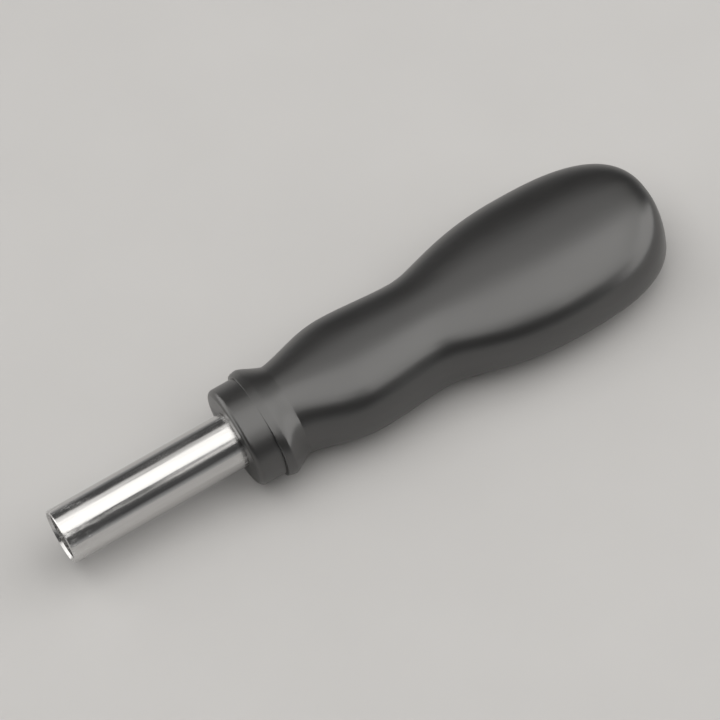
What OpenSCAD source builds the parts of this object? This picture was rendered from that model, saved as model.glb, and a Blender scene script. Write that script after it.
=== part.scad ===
// Bit driver: a contoured black handle with a polished steel tube that takes hexagon bits.
// The tool axis is X. The origin is the centre of the open mouth of the tube.
// +X runs from the mouth to the end of the handle. +Z is the thin way of the handle, up when it lies flat.
// All sizes are in millimetres.

/* [Steel tube and socket] */
// outside diameter of the polished tube
tube_od = 10; // [9.8:0.1:10.8]
// wall of the polished tube
tube_wall = 0.6; // [0.45:0.05:0.65]
// edge break round the outside of both rims of the tube
tube_edge = 0.18; // [0.1:0.02:0.2]
// width of the flat rim left at the mouth of the tube
mouth_land = 0.1; // [0.05:0.01:0.14]
// depth of the lead-in cone inside the mouth
mouth_lead = 0.5; // [0.3:0.1:0.9]
// length of tube that stands out of the handle
tube_out = 33.6; // [28:0.2:44]
// length of tube held inside the handle
tube_in = 16; // [12:1:20]
// how much the stretch inside the handle is turned down, in radius
tube_step = 0.2; // [0.16:0.01:0.25]
// hexagon bit that the socket takes, across flats
bit_af = 6.35; // [5.9:0.05:6.45]
// play between the bit and the socket, across flats
bit_play = 0.1; // [0.05:0.01:0.15]
// how far the socket bush sits back from the mouth of the tube
bush_recess = 2; // [1:0.25:3]
// depth of the lead-in cone of the bush
bush_lead = 0.8; // [0.4:0.1:1.2]
// depth of the hexagon from the front of the bush to the magnet
bit_depth = 13; // [10:0.5:16]
// length of the magnet
magnet_len = 4; // [2:0.5:6]
// play round the magnet in the hexagon
magnet_play = 0.12; // [0.05:0.01:0.2]
// length of drive bar that runs on into the handle behind the tube
bar_tail = 34; // [24:1:38]

/* [Retaining ring] */
// thickness of the spring wire
ring_wire = 0.6; // [0.5:0.05:0.65]
// how far the ring reaches into the corners of the hexagon
ring_reach = 0.32; // [0.25:0.01:0.4]
// play of the ring in its groove
ring_play = 0.05; // [0.02:0.01:0.08]
// distance from the front of the bush to the ring
ring_back = 4; // [3:0.25:6]
// opening of the ring, in degrees
ring_gap = 50; // [30:5:80]

/* [Collar and flange] */
// width of the flat-oval collar at the front of the handle
collar_w = 19; // [18.4:0.1:20]
// thickness of the collar
collar_t = 16.5; // [16.2:0.1:17.6]
// length of the collar
collar_len = 4.8; // [3:0.1:6]
// rounding of the front edge of the collar
collar_round = 1; // [0.4:0.1:1.4]
// edge break where the tube enters the collar
entry_edge = 0.2; // [0.1:0.05:0.4]
// how far the front of the finger flange stands out from the collar at each side
flange_step = 0.8; // [0.4:0.1:2]
// how much further out the crest of the flange lies at each side
flange_swell = 0.4; // [0.2:0.05:0.8]
// rise of the flange above and below the collar
flange_rise = 0.05; // [0.03:0.01:0.4]
// distance from the front of the flange to its crest
flange_top = 1.5; // [0.6:0.1:2]
// length of the flange from its front to its foot
flange_len = 5.2; // [4:0.1:6.4]
// straightness of the slope behind the crest, 0 is an S curve, 1 is a straight line
flange_line = 0.7; // [0:0.05:1]

/* [Handle body] */
// width of the neck behind the flange
neck_w = 16.4; // [15.8:0.1:17.2]
// thickness of the neck
neck_t = 15.8; // [15.4:0.1:16.4]
// distance from the foot of the flange to the front swell
front_run = 12.3; // [11:0.1:16]
// width of the front swell
front_w = 22.2; // [21:0.2:25]
// distance from the front swell to the waist
waist_run = 15.1; // [12:0.5:18]
// width of the waist
waist_w = 20.2; // [19:0.2:22.4]
// thickness of the waist
waist_t = 15.2; // [14.8:0.1:18]
// distance from the waist to the palm swell
palm_run = 22; // [19:0.5:26]
// width of the palm swell
palm_w = 29.5; // [26:0.5:34]
// thickness of the palm swell
palm_t = 16; // [15:0.2:20]
// distance from the palm swell to the end of the handle
end_run = 22.8; // [20:0.2:28]
// bluntness of the end seen from above, 2 is an ellipse
end_plan = 2.7; // [2:0.1:4]
// bluntness of the end seen from the side, 2 is an ellipse
end_side = 6; // [2:0.1:9]
// squareness of the sections at the neck, 2 is an ellipse
neck_plump = 2.2; // [2:0.05:2.6]
// squareness of the sections of the body, 2 is an ellipse
plump = 2.5; // [2:0.05:3]
// squareness of the sections at the end of the handle, 2 is an ellipse
end_plump = 2.65; // [2:0.05:3.2]
// reach over which the joints of the plan outline are rounded off
soften = 2; // [0.5:0.1:3]

/* [Hard core] */
// wall of the core round the tube
core_wall = 1.1; // [0.9:0.1:1.3]
// distance from the foot of the flange to the fins
fin_back = 6.2; // [5.6:0.2:9]
// thickness of the fins that stop the grip from turning
fin_t = 3; // [2:0.25:4]
// cover of the grip over the fins at the waist
fin_cover = 2.2; // [1.8:0.1:2.8]
// cover of the grip over the paddle at the palm
paddle_cover = 3.4; // [2.5:0.1:4.5]
// length of the paddle in front of the palm swell
paddle_fore = 10; // [7:0.5:12]
// length of the core behind the palm swell
core_past = 9.6; // [6:0.2:11]
// edge break at the end of the core
core_edge = 1.5; // [0.5:0.1:2]
// diameter of the holes that lock the grip to the paddle
lock_d = 3.6; // [2:0.2:4]

/* [Hidden] */
// radii of the steel parts
tube_r = tube_od / 2;
bore_r = tube_r - tube_wall;
spigot_r = tube_r - tube_step;
hex_af = bit_af + bit_play;
hex_r = hex_af / 2 / cos(30);
// places along the axis for the steel parts
tube_end = tube_out + tube_in;
magnet_at = bush_recess + bit_depth;
bar_at = magnet_at + magnet_len;
bar_end = tube_end + bar_tail;
// retaining ring and its groove
ring_in = hex_r - ring_reach;
ring_out = ring_in + ring_wire;
ring_at = bush_recess + ring_back;
// places along the axis for the handle
flange_at = tube_out + collar_len;
foot_at = flange_at + flange_len;
front_at = foot_at + front_run;
waist_at = front_at + waist_run;
palm_at = waist_at + palm_run;
end_at = palm_at + end_run;
// the hard core inside the grip
spine_r = tube_r + core_wall;
fin_at = foot_at + fin_back;
fin_y = waist_w / 2 - fin_cover;
paddle_y = palm_w / 2 - paddle_cover;
paddle_at = palm_at - paddle_fore;
core_end = palm_at + core_past;
fin_end = core_end - core_edge;
lock_y = (spine_r + paddle_y) / 2;
// fineness of the grip surface: sides of a ring, and rings in each stretch from rim to end
sides = 50;
steps = [4, 8, 10, 12, 16, 16];
// a hair of overlap that keeps cuts clean
hair = 0.001;

// Turns a shape that was drawn along Z so that it lies along X.
module along_x() {
    rotate([0, 90, 0]) children();
}

// A hexagon bar drawn along Z, with corners above and below once it lies along X.
module hex_bar(from, to) {
    translate([0, 0, from]) cylinder(r = hex_r, h = to - from, $fn = 6);
}

// The polished tube, with its rims broken, a lead-in at the mouth and its root turned down.
module outer_tube() {
    color("#c9ccd0") along_x() rotate_extrude() polygon([
        [tube_r - tube_edge - mouth_land, 0], [tube_r - tube_edge, 0],
        [tube_r, tube_edge], [tube_r, tube_out],
        [spigot_r, tube_out], [spigot_r, tube_end - tube_edge],
        [spigot_r - tube_edge, tube_end], [bore_r, tube_end],
        [bore_r, mouth_lead]
    ]);
}

// The steel bush pressed in the tube, with the hexagon all the way through.
module socket_bush() {
    mouth_r = hex_r + hair;
    color("#a5a8ac") along_x() difference() {
        translate([0, 0, bush_recess]) cylinder(r = bore_r, h = tube_end - bush_recess);
        hex_bar(bush_recess - 1, tube_end + 1);
        translate([0, 0, bush_recess - hair]) cylinder(r1 = mouth_r, r2 = mouth_r - bush_lead, h = bush_lead);
        translate([0, 0, ring_at - ring_play])
            cylinder(r = ring_out + ring_play, h = ring_wire + 2 * ring_play);
    }
}

// The open spring ring, its gap facing up.
module retaining_ring() {
    mid = (ring_in + ring_out) / 2;
    color("#8f9296") translate([ring_at + ring_wire / 2, 0, 0]) along_x()
        rotate([0, 0, 180 + ring_gap / 2]) rotate_extrude(angle = 360 - ring_gap)
            translate([mid, 0]) circle(d = ring_wire);
}

// The round magnet that stops the bit.
module magnet() {
    color("#77797d") along_x() translate([0, 0, magnet_at])
        cylinder(r = hex_af / 2 - magnet_play, h = magnet_len);
}

// The hexagon bar that ties the socket to the handle.
module drive_bar() {
    color("#9a9da1") along_x() hex_bar(bar_at, bar_end);
}

// The outside of the hard core: spine, fins and paddle.
module core_solid() {
    along_x() rotate_extrude() polygon([
        [0, flange_at], [spine_r, flange_at],
        [spine_r, core_end - core_edge], [spine_r - core_edge, core_end], [0, core_end]
    ]);
    difference() {
        union() {
            translate([fin_at, -fin_y, -fin_t / 2]) cube([fin_end - fin_at, 2 * fin_y, fin_t]);
            translate([paddle_at, -paddle_y, -fin_t / 2]) cube([fin_end - paddle_at, 2 * paddle_y, fin_t]);
        }
        for (s = [-1, 1]) translate([palm_at, s * lock_y, -fin_t]) cylinder(d = lock_d, h = 2 * fin_t);
    }
}

// The hard core, moulded round the tube and the drive bar.
module handle_core() {
    color("#26282a") difference() {
        core_solid();
        along_x() translate([0, 0, tube_out]) cylinder(r = spigot_r, h = tube_in);
        along_x() hex_bar(tube_end - 1, bar_end);
    }
}

// Smooth rise from 0 to 1.
function ease(t) = (1 - cos(180 * t)) / 2;
function mix(a, b, t) = a + (b - a) * t;
// Share of the way from the crest of the flange down to its foot, at distance d behind its front.
function slope(d) =
    let (t = (d - flange_top) / (flange_len - flange_top)) mix(ease(t), t, flange_line);
// Half width and half thickness of the flange at distance d behind its front.
crest_w = collar_w / 2 + flange_step + flange_swell;
crest_t = collar_t / 2 + flange_rise;
function flange_w(d) =
    d < flange_top ? crest_w - flange_swell * pow(1 - d / flange_top, 2) : mix(crest_w, neck_w / 2, slope(d));
function flange_t(d) = d < flange_top ? crest_t : mix(crest_t, neck_t / 2, slope(d));
// Half width and half thickness of the handle at place x, behind the foot of the flange.
function half_w(x) =
    x <= front_at ? mix(neck_w, front_w, pow(sin(90 * (x - foot_at) / front_run), 1.5)) / 2 :
    x <= waist_at ? mix(front_w, waist_w, ease((x - front_at) / waist_run)) / 2 :
    x <= palm_at ? mix(waist_w, palm_w, ease(pow((x - waist_at) / palm_run, 0.63))) / 2 :
    palm_w / 2 * pow(1 - pow((x - palm_at) / end_run, end_plan), 1 / end_plan);
// The same width with the joints between the stretches rounded off: the mean over a short reach.
function soft_w(x) =
    let (s = min(soften, (x - foot_at) / 2, (palm_at - x) / 2), n = 4)
    s <= 0 ? half_w(x) : [for (i = [-n : n]) half_w(x + s * i / n)] * [for (i = [-n : n]) 1] / (2 * n + 1);
function half_t(x) =
    x <= waist_at ? mix(neck_t, waist_t, ease((x - foot_at) / (waist_at - foot_at))) / 2 :
    x <= palm_at ? mix(waist_t, palm_t, ease((x - waist_at) / palm_run)) / 2 :
    palm_t / 2 * pow(1 - pow((x - palm_at) / end_run, end_side), 1 / end_side);
// One ring of points: a slightly squared ellipse.
function bend(v, e) = sign(v) * pow(abs(v), e);
function ring(x, w, t, p) = [for (k = [0 : sides - 1])
    let (a = 360 * k / sides) [x, w * bend(cos(a), 2 / p), t * bend(sin(a), 2 / p)]];
// Places of the rings along one stretch.
function spread(a, b, n) = [for (i = [0 : n - 1]) mix(a, b, i / n)];
rim_turn = [for (i = [0 : steps[0]]) 90 * i / steps[0]];
flange_x = spread(0, flange_len, steps[1]);
body_x = concat(spread(foot_at, front_at, steps[2]), spread(front_at, waist_at, steps[3]),
    spread(waist_at, palm_at, steps[4]));
end_turn = [for (i = [0 : steps[5] - 1]) i / steps[5]];
nose_rings = concat(
    [for (a = rim_turn) let (cut = collar_round * (1 - sin(a)))
        ring(tube_out + collar_round * (1 - cos(a)), collar_w / 2 - cut, collar_t / 2 - cut, 2)],
    [ring(flange_at, collar_w / 2, collar_t / 2, 2)],
    [for (d = flange_x) let (t = max(0, d - flange_top) / (flange_len - flange_top))
        ring(flange_at + d, flange_w(d), flange_t(d), mix(2, neck_plump, t))],
    [ring(foot_at, neck_w / 2, neck_t / 2, neck_plump)]);
grip_rings = concat(
    [for (x = body_x) ring(x, soft_w(x), half_t(x), mix(neck_plump, plump, min(1, (x - foot_at) / front_run)))],
    [for (t = end_turn) let (x = palm_at + end_run * sin(90 * t))
        ring(x, half_w(x), half_t(x), mix(plump, end_plump, t))]);
// Faces over the first of n rings and between the rings.
function sheet(n) = concat([[for (k = [0 : sides - 1]) k]],
    [for (i = [0 : n - 2]) for (k = [0 : sides - 1])
        let (m = (k + 1) % sides) [i * sides + k, (i + 1) * sides + k, (i + 1) * sides + m, i * sides + m]]);

// The ferrule at the front of the handle: collar and finger flange, pushed over the tube and the core.
module ferrule() {
    n = len(nose_rings);
    color("#1c1d1f") difference() {
        polyhedron(points = [for (r = nose_rings) each r], convexity = 6,
            faces = concat(sheet(n), [[for (k = [1 : sides]) n * sides - k]]));
        core_solid();
        along_x() translate([0, 0, tube_out - 1]) cylinder(r = spigot_r, h = collar_len + 1 + hair);
        along_x() translate([0, 0, tube_out - hair])
            cylinder(r1 = tube_r + entry_edge, r2 = spigot_r, h = entry_edge);
    }
}

// The soft grip behind the ferrule, moulded over the core.
module grip() {
    n = len(grip_rings);
    color("#17181a") difference() {
        polyhedron(points = concat([for (r = grip_rings) each r], [[end_at, 0, 0]]), convexity = 6,
            faces = concat(sheet(n), [for (k = [0 : sides - 1])
                [(n - 1) * sides + k, n * sides, (n - 1) * sides + (k + 1) % sides]]));
        core_solid();
    }
}

outer_tube();
socket_bush();
retaining_ring();
magnet();
drive_bar();
handle_core();
ferrule();
grip();
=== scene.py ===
# %% [markdown]
# # A bit driver with a palm handle
# The object is a short screwdriver for loose bits: a polished steel tube, and a
# satin black handle. At its front is a ferrule, an oval collar with a finger
# flange, and behind it a grip that is pinched at the neck and swells to fill the
# palm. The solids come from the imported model. This lesson gives them their
# finishes, and makes the ferrule and the grip again as smooth meshes, because a
# solid made of flat facets would show them in a soft reflection.

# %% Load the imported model
import math
import bmesh
import bpy
from mathutils import Matrix, Vector


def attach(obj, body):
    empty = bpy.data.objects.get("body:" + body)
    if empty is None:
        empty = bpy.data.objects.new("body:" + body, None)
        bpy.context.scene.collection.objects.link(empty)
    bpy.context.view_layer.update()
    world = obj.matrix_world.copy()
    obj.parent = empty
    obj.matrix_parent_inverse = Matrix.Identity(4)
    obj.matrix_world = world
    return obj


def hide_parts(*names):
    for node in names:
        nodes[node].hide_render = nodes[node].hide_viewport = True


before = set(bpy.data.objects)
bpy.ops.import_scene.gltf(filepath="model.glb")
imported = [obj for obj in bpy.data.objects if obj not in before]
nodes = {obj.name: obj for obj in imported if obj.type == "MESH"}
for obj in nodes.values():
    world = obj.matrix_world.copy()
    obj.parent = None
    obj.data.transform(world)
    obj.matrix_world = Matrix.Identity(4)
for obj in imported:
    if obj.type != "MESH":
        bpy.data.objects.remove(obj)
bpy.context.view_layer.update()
print("nodes:", ", ".join(sorted(nodes)))

# %% [markdown]
# ## Millimetres
# Blender works in metres here, and the tool is drawn in millimetres, so every
# length is written in millimetres and multiplied by one small value. The places
# along the tool are counted from the mouth of the tube, which is the origin; the
# tool lies along X, its width is Y and its thickness is Z. Widths and
# thicknesses are written as halves, measured from the axis.

# %% Lengths of the handle
MM = 0.001
collar_front, flange_front, flange_foot = 33.6, 38.4, 43.6
front_swell, waist, palm, tail = 55.9, 71.0, 93.0, 115.8
collar_half, collar_thick, collar_round = 9.5, 8.25, 1.0
flange_step_half, flange_half, flange_thick, flange_crest = 10.3, 10.7, 8.27, 1.5
neck_half, neck_thick = 8.2, 7.9
front_half, waist_half, palm_half = 11.1, 10.1, 14.75
waist_thick, palm_thick = 7.6, 8.0
print("handle from", collar_front, "to", tail, "mm")

# %% [markdown]
# ## The outline of the handle
# A moulded handle is drawn from two outlines: the plan, seen from above, and the
# side. Each is a chain of soft steps, and a half cosine makes a step that starts
# and ends level, so the pieces join with no kink. Behind the crest of the flange
# the slope is nearly straight, which leaves a crisp crease at its foot. The blunt
# tail end is a superellipse: a higher power gives a squarer end. Two more powers,
# here called hurries, move a swell forward or back between its two ends.

# %% Two outlines as functions
plan_power, side_power = 2.7, 6.0
slope_straight, front_hurry, palm_hurry = 0.7, 1.5, 0.63


def soft_step(t):
    return (1 - math.cos(math.pi * t)) / 2


def between(a, b, t):
    return a + (b - a) * t


def flange_outline(x, front, crest, foot):
    back = x - flange_front
    if back < flange_crest:
        return crest - (crest - front) * (1 - back / flange_crest) ** 2
    t = (back - flange_crest) / (flange_foot - flange_front - flange_crest)
    return between(crest, foot, between(soft_step(t), t, slope_straight))


def plain_width(x):
    if x <= front_swell:
        t = max(0, x - flange_foot) / (front_swell - flange_foot)
        return between(neck_half, front_half, math.sin(math.pi / 2 * t) ** front_hurry)
    if x <= waist:
        t = (x - front_swell) / (waist - front_swell)
        return between(front_half, waist_half, soft_step(t))
    if x <= palm:
        t = (x - waist) / (palm - waist)
        return between(waist_half, palm_half, soft_step(t ** palm_hurry))
    return palm_half * max(0, 1 - ((x - palm) / (tail - palm)) ** plan_power) ** (1 / plan_power)


def half_thick(x):
    if x <= waist:
        return between(neck_thick, waist_thick, soft_step((x - flange_foot) / (waist - flange_foot)))
    if x <= palm:
        return between(waist_thick, palm_thick, soft_step((x - waist) / (palm - waist)))
    return palm_thick * max(0, 1 - ((x - palm) / (tail - palm)) ** side_power) ** (1 / side_power)


# %% [markdown]
# The plan has a slight corner where one stretch meets the next, which a soft
# reflection would show as a line. Taking the mean of the width over a short
# reach on both sides rounds such a corner off, as polishing a mould does.

# %% The plan with its joints rounded off
soft_reach, soft_steps = 2.0, 4


def half_width(x):
    reach = min(soft_reach, (x - flange_foot) / 2, (palm - x) / 2)
    if reach <= 0:
        return plain_width(x)
    steps = range(-soft_steps, soft_steps + 1)
    return sum(plain_width(x + reach * i / soft_steps) for i in steps) / len(steps)


for x in (45, 56, 71, 93, 110):
    print(f"at {x} mm: {2 * half_width(x):.1f} wide, {2 * half_thick(x):.1f} thick")


# %% [markdown]
# ## The skin of the handle
# The handle could be sculpted, or modelled from a subdivided box. Here it is a
# loft: one ring of points after another along the tool, joined with four-sided
# faces. The rings are plain ellipses on the collar, and become slightly squared
# ellipses towards the palm, as a hand wants. They lie closer together where the
# outline turns quickly: at the rounded rim, the flange and the tail. The last
# ring of the ferrule is the first of the grip, so the joint between them is flush.
# At the top and bottom the flange stands only a hair proud of the collar, and its
# front edge is rounded a little.

# %% Rings of the ferrule
SIDES = 128
round_power, neck_power, body_power, tail_power = 2, 2.2, 2.5, 2.65
hair, edge_round, edge_end = 0.01, 0.12, 0.15
rim_steps, edge_steps, flange_steps = 12, 5, 48


def ring_of_points(x, half_y, half_z, power):
    points = []
    for k in range(SIDES):
        a = 2 * math.pi * k / SIDES
        c, s = math.cos(a), math.sin(a)
        y = half_y * math.copysign(abs(c) ** (2 / power), c)
        z = half_z * math.copysign(abs(s) ** (2 / power), s)
        points.append((x * MM, y * MM, z * MM))
    return points


def places(start, end, count):
    return [between(start, end, i / count) for i in range(count)]


def flange_ring(x, inset=0.0):
    behind = max(0, x - flange_front - flange_crest) / (flange_foot - flange_front - flange_crest)
    half_y = flange_outline(x, flange_step_half, flange_half, neck_half) - inset
    half_z = flange_outline(x, collar_thick + hair, flange_thick, neck_thick)
    return x, half_y, half_z, between(round_power, neck_power, behind)


def quarter_turn(steps):
    return [math.pi / 2 * i / steps for i in range(steps + 1)]


ferrule_rings = []
for angle in quarter_turn(rim_steps):
    x = collar_front + collar_round * (1 - math.cos(angle))
    inset = collar_round * (1 - math.sin(angle))
    ferrule_rings.append((x, collar_half - inset, collar_thick - inset, round_power))
for x in (flange_front - 2 * hair, flange_front):
    ferrule_rings.append((x, collar_half, collar_thick, round_power))
for angle in quarter_turn(edge_steps):
    x = flange_front + edge_round * (1 - math.cos(angle))
    ferrule_rings.append(flange_ring(x, edge_round * (1 - math.sin(angle))))
ferrule_rings += [flange_ring(x) for x in places(flange_front + edge_end, flange_foot, flange_steps)]
ferrule_rings.append(flange_ring(flange_foot))
print(len(ferrule_rings), "rings on the ferrule")

# %% Rings of the grip
body_steps, tail_steps = 120, 44
grip_rings = []
for x in places(flange_foot, palm, body_steps):
    t = min(1, (x - flange_foot) / (front_swell - flange_foot))
    grip_rings.append((x, half_width(x), half_thick(x), between(neck_power, body_power, t)))
for t in places(0, 1, tail_steps):
    x = palm + (tail - palm) * math.sin(math.pi / 2 * t)
    grip_rings.append((x, half_width(x), half_thick(x), between(body_power, tail_power, t)))
print(len(grip_rings), "rings on the grip, of", SIDES, "points each")


# %% [markdown]
# A face shows its outside where its corners run anticlockwise. This matters here:
# a Boolean takes nothing away with a cutter that is turned inside out. So one
# helper joins the rings of every lofted or turned piece the right way round.

# %% Both as meshes
def mesh_piece(name, points, faces):
    mesh = bpy.data.meshes.new(name)
    mesh.from_pydata(points, [], faces)
    mesh.validate()
    piece = bpy.data.objects.new(name, mesh)
    bpy.context.scene.collection.objects.link(piece)
    return piece


def ring_walls(rings, sides):
    walls = []
    for i in range(rings - 1):
        for k in range(sides):
            m = (k + 1) % sides
            walls.append((i * sides + m, (i + 1) * sides + m, (i + 1) * sides + k, i * sides + k))
    return walls


def loft(name, rings, tip=None):
    points = [p for ring in rings for p in ring_of_points(*ring)]
    faces = [tuple(reversed(range(SIDES)))] + ring_walls(len(rings), SIDES)
    last = len(points) - SIDES
    if tip is None:
        faces.append(tuple(range(last, len(points))))
    else:
        faces += [(last + (k + 1) % SIDES, len(points), last + k) for k in range(SIDES)]
        points.append((tip * MM, 0, 0))
    return mesh_piece(name, points, faces)


ferrule = loft("ferrule_skin", ferrule_rings)
grip = loft("grip_skin", grip_rings, tail)
print("faces of the ferrule and the grip:", len(ferrule.data.polygons), len(grip.data.polygons))

# %% [markdown]
# ## The room for the tube and the core
# The real grip is moulded over a hard core, and the ferrule is pushed over the
# core and the root of the tube, so both are sleeves and not lumps. Boolean
# modifiers take the core and the tube out of them. The way for the tube is turned
# like a lathe part: it opens in a small cone round the tube, which leaves the thin
# dark line that is seen there, and it is wider further in, where the core
# surrounds it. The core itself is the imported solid. After the cuts, points that
# lie in one place are merged, which clears the empty faces that a Boolean can leave.

# %% Turn the way for the tube
def turned(name, profile, sides=96):
    points = []
    for x, r in profile:
        for k in range(sides):
            a = 2 * math.pi * k / sides
            points.append((x * MM, r * MM * math.cos(a), r * MM * math.sin(a)))
    ends = [tuple(reversed(range(sides))), tuple(range(len(points) - sides, len(points)))]
    return mesh_piece(name, points, ring_walls(len(profile), sides) + ends)


cone_front, cone_back, core_front, way_end = 33.3, 33.8, 38.6, 84
cone_half, root_half, inner_half = 5.8, 4.82, 5.4
tube_way = turned("tube_way", [
    (cone_front, cone_half),
    (cone_back, root_half),
    (core_front, root_half),
    (core_front, inner_half),
    (way_end, inner_half),
])
print("tube way:", len(tube_way.data.polygons), "faces")

# %% Cut the sleeves
crease_angle, merge_reach = math.radians(38), 0.001 * MM


def merge_points(mesh):
    merged = bmesh.new()
    merged.from_mesh(mesh)
    bmesh.ops.remove_doubles(merged, verts=merged.verts, dist=merge_reach)
    merged.to_mesh(mesh)
    merged.free()


def cut_sleeve(piece, cutters):
    for cutter in cutters:
        cut = piece.modifiers.new("cut_" + cutter.name, "BOOLEAN")
        cut.operation = "DIFFERENCE"
        cut.solver = "EXACT"
        cut.object = cutter
    shaped = piece.evaluated_get(bpy.context.evaluated_depsgraph_get())
    sleeve = bpy.data.meshes.new_from_object(shaped)
    piece.modifiers.clear()
    merge_points(sleeve)
    piece.data = sleeve
    sleeve.shade_smooth()
    sleeve.set_sharp_from_angle(angle=crease_angle)
    print(piece.name, "cut:", len(sleeve.polygons), "faces")


for piece, solid, slot in ((ferrule, "ferrule", "hard_plastic"), (grip, "grip", "soft_grip")):
    cut_sleeve(piece, (tube_way, nodes["handle_core"]))
    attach(piece, "driver")
    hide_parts(solid)
bpy.data.objects.remove(tube_way)

# %% [markdown]
# ## Finishes
# All finishes are made of nodes, with the coordinates of the object itself, so
# they stay in place from any side. A small helper adds a node and sets its
# sockets, and another joins two sockets.

# %% Helpers for finishes
def new_finish(name):
    finish = bpy.data.materials.new(name)
    finish.use_nodes = True
    return finish, finish.node_tree.nodes["Principled BSDF"]


def add(finish, kind, **sockets):
    made = finish.node_tree.nodes.new(kind)
    for socket, value in sockets.items():
        made.inputs[socket.replace("_", " ")].default_value = value
    return made


def join(finish, source, out, target, into):
    finish.node_tree.links.new(source.outputs[out], target.inputs[into])


def object_place(finish, stretch=(1, 1, 1)):
    coords = add(finish, "ShaderNodeTexCoord")
    mapping = add(finish, "ShaderNodeMapping", Scale=stretch)
    join(finish, coords, "Object", mapping, "Vector")
    return mapping


def noise(finish, place, scale, detail=2.0, rough=0.5):
    made = add(finish, "ShaderNodeTexNoise", Scale=scale, Detail=detail, Roughness=rough)
    join(finish, place, "Vector", made, "Vector")
    return made


def ramp(finish, source, out, stops):
    made = add(finish, "ShaderNodeValToRGB")
    first, last = made.color_ramp.elements[0], made.color_ramp.elements[-1]
    first.position, first.color = stops[0]
    last.position, last.color = stops[-1]
    for position, colour in stops[1:-1]:
        made.color_ramp.elements.new(position).color = colour
    join(finish, source, out, made, "Fac")
    return made


def grey(v, warm=0.0):
    return (v * (1 + warm), v, v * (1 - warm), 1)


# %% [markdown]
# ### Satin black plastic
# The handle looks black, but in the light its top turns grey: that is a broad,
# dull reflection of the lamp, and not its colour. So the colour is nearly black
# and the roughness does the work. Moulds are etched to a fine grain; here a small
# noise gives the grain as bump, and a wider one, drawn out along the handle, lets
# the gloss change where hands have rubbed it. The widest changes the black itself.
# Noise scales count the waves in a metre, and depths are in millimetres.

# %% Satin black
def satin_black(name, tone, dull, gloss, grain_size, grain_depth):
    finish, shader = new_finish(name)
    place = object_place(finish)
    wide = noise(finish, place, scale=70, detail=3)
    darker, lighter = grey(tone * 0.85, warm=0.02), grey(tone * 1.15, warm=0.03)
    colour = ramp(finish, wide, "Fac", [(0.3, darker), (0.7, lighter)])
    join(finish, colour, "Color", shader, "Base Color")
    rub = noise(finish, object_place(finish, stretch=(0.3, 1, 1)), scale=260, detail=5, rough=0.6)
    shine = ramp(finish, rub, "Fac", [(0.3, grey(gloss)), (0.75, grey(dull))])
    join(finish, shine, "Color", shader, "Roughness")
    grain = noise(finish, place, scale=1 / (grain_size * MM))
    bump = add(finish, "ShaderNodeBump", Strength=0.35, Distance=grain_depth * MM)
    join(finish, grain, "Fac", bump, "Height")
    join(finish, bump, "Normal", shader, "Normal")
    shader.inputs["Specular IOR Level"].default_value = 1.0
    shader.inputs["IOR"].default_value = 1.58
    return finish


def dress(piece, finish):
    piece.data.materials.clear()
    piece.data.materials.append(finish)


satin = dict(tone=0.012, dull=0.34, gloss=0.28, grain_size=0.35, grain_depth=0.012)
grip_finish = satin_black("satin_black_grip", **satin)
hard_finish = satin_black("satin_black_ferrule", **satin)
dress(grip, grip_finish)
dress(ferrule, hard_finish)
dress(nodes["handle_core"], hard_finish)
print("finishes:", grip_finish.name, hard_finish.name)

# %% [markdown]
# ### Polished steel
# Steel has no colour under its shine, so it is all metal, and what it shows is
# the room. A drawn and polished tube keeps faint lines along its length. A noise
# that is stretched along X makes them: it changes the roughness a little and
# bends the surface by less than a hundredth of a millimetre. A coarser noise
# darkens the metal in streaks. The pieces inside are turned, drawn or plated, so
# each has its own tone, gloss and direction of lines.

# %% Steel finishes
def steel(name, tone, gloss, dull, stretch, scale, line_depth):
    finish, shader = new_finish(name)
    shader.inputs["Metallic"].default_value = 1.0
    place = object_place(finish, stretch)
    lines = noise(finish, place, scale, detail=4, rough=0.6)
    shine = ramp(finish, lines, "Fac", [(0.35, grey(gloss)), (0.7, grey(dull))])
    join(finish, shine, "Color", shader, "Roughness")
    streaks = noise(finish, object_place(finish, stretch), scale * 0.5, detail=5, rough=0.6)
    darker, plain = grey(tone * 0.84, warm=0.01), grey(tone, warm=0.01)
    colour = ramp(finish, streaks, "Fac", [(0.32, darker), (0.6, plain)])
    join(finish, colour, "Color", shader, "Base Color")
    bump = add(finish, "ShaderNodeBump", Strength=0.25, Distance=line_depth * MM)
    join(finish, lines, "Fac", bump, "Height")
    join(finish, bump, "Normal", shader, "Normal")
    return finish


along_tube, along_bar, round_bore, even = (0.05, 1, 1), (0.1, 1, 1), (1, 0.1, 0.1), (1, 1, 1)
# each line gives the tone, the gloss and the dullest roughness, the way the lines run,
# their scale and their depth
steels = {
    "outer_tube": steel("polished_tube", 0.62, 0.10, 0.24, along_tube, 1400, 0.006),
    "socket_bush": steel("turned_socket", 0.55, 0.24, 0.36, round_bore, 1600, 0.01),
    "retaining_ring": steel("spring_wire", 0.42, 0.22, 0.34, even, 900, 0.004),
    "magnet": steel("plated_magnet", 0.58, 0.18, 0.30, even, 700, 0.004),
    "drive_bar": steel("rolled_bar", 0.48, 0.30, 0.45, along_bar, 900, 0.006),
}
for name, finish in steels.items():
    dress(nodes[name], finish)
print("steel on:", ", ".join(steels))

# %% [markdown]
# ### Scuffs on the tube
# Bits that miss the socket and fingers that hold the tube leave dull scuffs, most
# of them at the mouth, and some at the collar. Two ramps over the place along the
# tube say where they gather, and a drawn-out noise breaks them up into streaks.
# They are paler and rougher than the polish round them.

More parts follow.
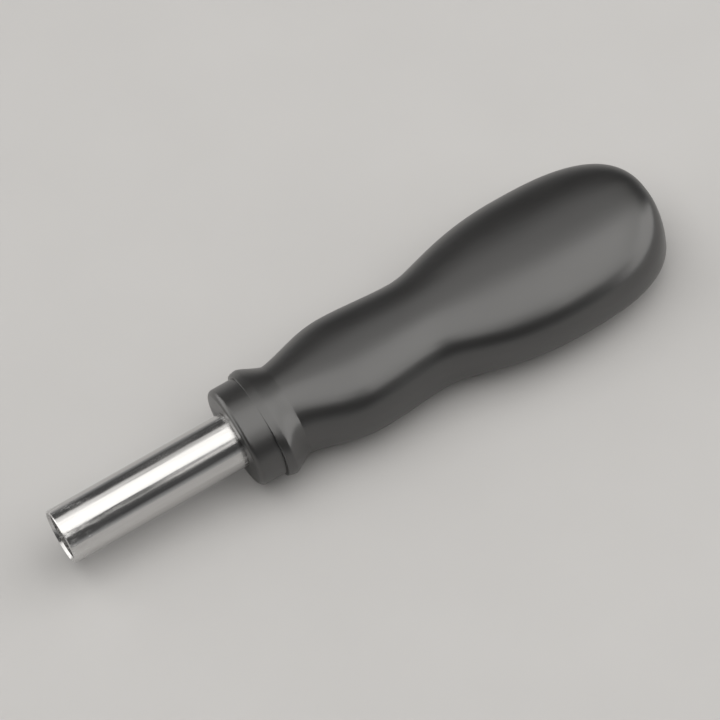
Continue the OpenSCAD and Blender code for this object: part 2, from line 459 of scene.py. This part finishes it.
# %% Scuff both ends of the tube
def scuff(finish, mouth_reach, collar_reach, dull, pale):
    shader = finish.node_tree.nodes["Principled BSDF"]
    along = add(finish, "ShaderNodeSeparateXYZ")
    join(finish, object_place(finish), "Vector", along, "Vector")
    ends = []
    for start, stop in ((mouth_reach, 0), (collar_front - collar_reach, collar_front)):
        near_end = add(finish, "ShaderNodeMapRange", From_Min=start * MM, From_Max=stop * MM)
        join(finish, along, "X", near_end, "Value")
        ends.append(near_end)
    gathered = add(finish, "ShaderNodeMath")
    join(finish, ends[0], "Result", gathered, 0)
    join(finish, ends[1], "Result", gathered, 1)
    drawn_out = object_place(finish, stretch=(0.35, 1, 1))
    patches = noise(finish, drawn_out, scale=1300, detail=6, rough=0.7)
    streaks = ramp(finish, patches, "Fac", [(0.47, grey(0)), (0.72, grey(1))])
    amount = add(finish, "ShaderNodeMath")
    amount.operation = "MULTIPLY"
    join(finish, gathered, "Value", amount, 0)
    join(finish, streaks, "Color", amount, 1)
    for socket, value, data in (("Roughness", dull, "FLOAT"), ("Base Color", grey(pale), "RGBA")):
        polish = shader.inputs[socket].links[0].from_socket
        worn = finish.node_tree.nodes.new("ShaderNodeMix")
        worn.data_type = data
        fit = [s for s in worn.inputs if s.enabled]
        fit[2].default_value = value
        finish.node_tree.links.new(amount.outputs["Value"], fit[0])
        finish.node_tree.links.new(polish, fit[1])
        finish.node_tree.links.new([s for s in worn.outputs if s.enabled][0], shader.inputs[socket])


scuff(steels["outer_tube"], mouth_reach=13, collar_reach=4, dull=0.42, pale=0.73)
print("scuffs on:", steels["outer_tube"].name)

# %% [markdown]
# ## The floor
# The tool lies on its flange and on the swell of its palm, so the floor leans a
# little against the tool's own axis. The lean is found from the outline: the
# lowest slope from the crest of the flange to any point of the underside behind
# it.

# %% A plain pale floor
crest_x = flange_front + flange_crest
underside = places(60, tail - 1, 200)
lean = min((flange_thick - half_thick(x)) / (x - crest_x) for x in underside)
floor_half = 2
corners = [(-floor_half, -floor_half, 0), (floor_half, -floor_half, 0),
           (floor_half, floor_half, 0), (-floor_half, floor_half, 0)]
floor = mesh_piece("floor", corners, [(0, 1, 2, 3)])
floor.location = (crest_x * MM, 0, -flange_thick * MM)
floor.rotation_euler = (0, -math.atan(lean), 0)
floor_finish, floor_shader = new_finish("pale_floor")
floor_shader.inputs["Roughness"].default_value = 0.9
floor_shader.inputs["Specular IOR Level"].default_value = 0.1
floor_grain = noise(floor_finish, object_place(floor_finish), scale=40, detail=4)
floor_tones = [(0.2, grey(0.51, warm=0.01)), (0.8, grey(0.53, warm=0.01))]
floor_tone = ramp(floor_finish, floor_grain, "Fac", floor_tones)
join(floor_finish, floor_tone, "Color", floor_shader, "Base Color")
dress(floor, floor_finish)
print(f"floor leans {math.degrees(math.atan(lean)):.2f} degrees")

# %% [markdown]
# ## Light
# Soft boxes hang side by side over the tool, a metre up. Their picture in the tube
# is the broad white band, and on the handle it is the grey sheen. So the ceiling is
# split where that sheen changes: the strongest box is over the palm, and the boxes
# on the far side are dimmer. One more stands behind the tail, and one far off at
# the tool's mouth, which lights the rounded rim of the collar. Each box has a
# brightness per area, so its watts follow from its size. The light is a little warm.

# %% Soft boxes
warm_white = (1.0, 0.982, 0.955)
ceiling = 1.0


def soft_box(name, at, aim, size_x, size_y, brightness):
    lamp = bpy.data.lights.new(name, "AREA")
    lamp.shape = "RECTANGLE"
    lamp.size = size_x
    lamp.size_y = size_y
    lamp.energy = brightness * math.pi * size_x * size_y
    lamp.color = warm_white
    lamp_object = bpy.data.objects.new(name, lamp)
    bpy.context.scene.collection.objects.link(lamp_object)
    lamp_object.location = at
    lamp_object.rotation_euler = (Vector(aim) - Vector(at)).to_track_quat("-Z", "Y").to_euler()
    return lamp_object


def ceiling_box(name, x_from, x_to, y_from, y_to, brightness):
    x, y = (x_from + x_to) / 2, (y_from + y_to) / 2
    just_beside = y + 0.0001
    return soft_box(name, (x, y, ceiling), (x, just_beside, 0), x_to - x_from, y_to - y_from, brightness)


# %% Hang the boxes, each given by its reach along X and along Y in metres
ceiling_box("box_over_neck", -0.60, 0.05, -0.85, 0.05, 1.68)
ceiling_box("box_over_tube", 0.05, 0.235, -0.52, 0.05, 1.68)
ceiling_box("box_over_handle", 0.235, 0.28, -1.05, 0.05, 1.4)
ceiling_box("box_middle", -0.60, 0.28, 0.05, 0.42, 1.6)
ceiling_box("box_over_palm", 0.28, 0.50, -1.05, 0.42, 2.0)
ceiling_box("box_over_tail", 0.50, 1.0, -1.05, 0.42, 1.45)
ceiling_box("box_far_mouth", -0.60, 0.15, 0.42, 0.95, 1.3)
ceiling_box("box_far_tail", 0.15, 1.0, 0.42, 0.86, 0.63)
soft_box("box_at_tail", (1.0, -0.75, 0.61), (0, -0.75, 0.61), 1.9, 0.92, 1.8)
soft_box("box_at_mouth", (-0.746, 0.699, 0.41), (0.03, 0, 0), 1.9, 0.85, 1.6)
print("ten soft boxes")

# %% [markdown]
# The room is dim above and pale along the horizon, as a studio with pale walls
# is. The world's own shader gets a ramp over the height of the looking direction.

# %% A dim room
room = bpy.data.worlds.new("room")
bpy.context.scene.world = room
room.use_nodes = True
room_light = room.node_tree.nodes["Background"]
room_light.inputs["Strength"].default_value = 1.0
looking = room.node_tree.nodes.new("ShaderNodeTexCoord")
height = room.node_tree.nodes.new("ShaderNodeSeparateXYZ")
walls = room.node_tree.nodes.new("ShaderNodeValToRGB")
horizon, overhead = walls.color_ramp.elements
horizon.position, horizon.color = 0.04, grey(0.37)
overhead.position, overhead.color = 0.30, grey(0.08)
room.node_tree.links.new(looking.outputs["Generated"], height.inputs["Vector"])
room.node_tree.links.new(height.outputs["Z"], walls.inputs["Fac"])
room.node_tree.links.new(walls.outputs["Color"], room_light.inputs["Color"])
print("room:", room.name)

# %% [markdown]
# ## Camera
# The picture was taken from the left front, a good way above the tool, with a
# long lens. Its place and two of its directions were fitted to the outline of the
# tool: up, and back towards the photographer. The third, right, follows from them.

# %% Place the camera
camera = bpy.data.cameras.new("camera")
camera.sensor_width = 36
camera.sensor_height = 36
camera.sensor_fit = "HORIZONTAL"
camera.angle = math.radians(7)
camera.clip_end = 20
view = bpy.data.objects.new("camera", camera)
bpy.context.scene.collection.objects.link(view)
back = Vector((-0.17736516, -0.5370218, 0.82471158))
up = Vector((0.48427926, 0.68189324, 0.54817443))
right = up.cross(back)
camera_turn = Matrix((right, up, back)).transposed().to_4x4()
camera_place = Matrix.Translation((-0.11686739, -0.53142266, 0.81831913))
view.matrix_world = camera_place @ camera_turn
bpy.context.scene.camera = view
bpy.context.scene.view_settings.view_transform = "Standard"
print("camera at", [round(v, 3) for v in view.location])
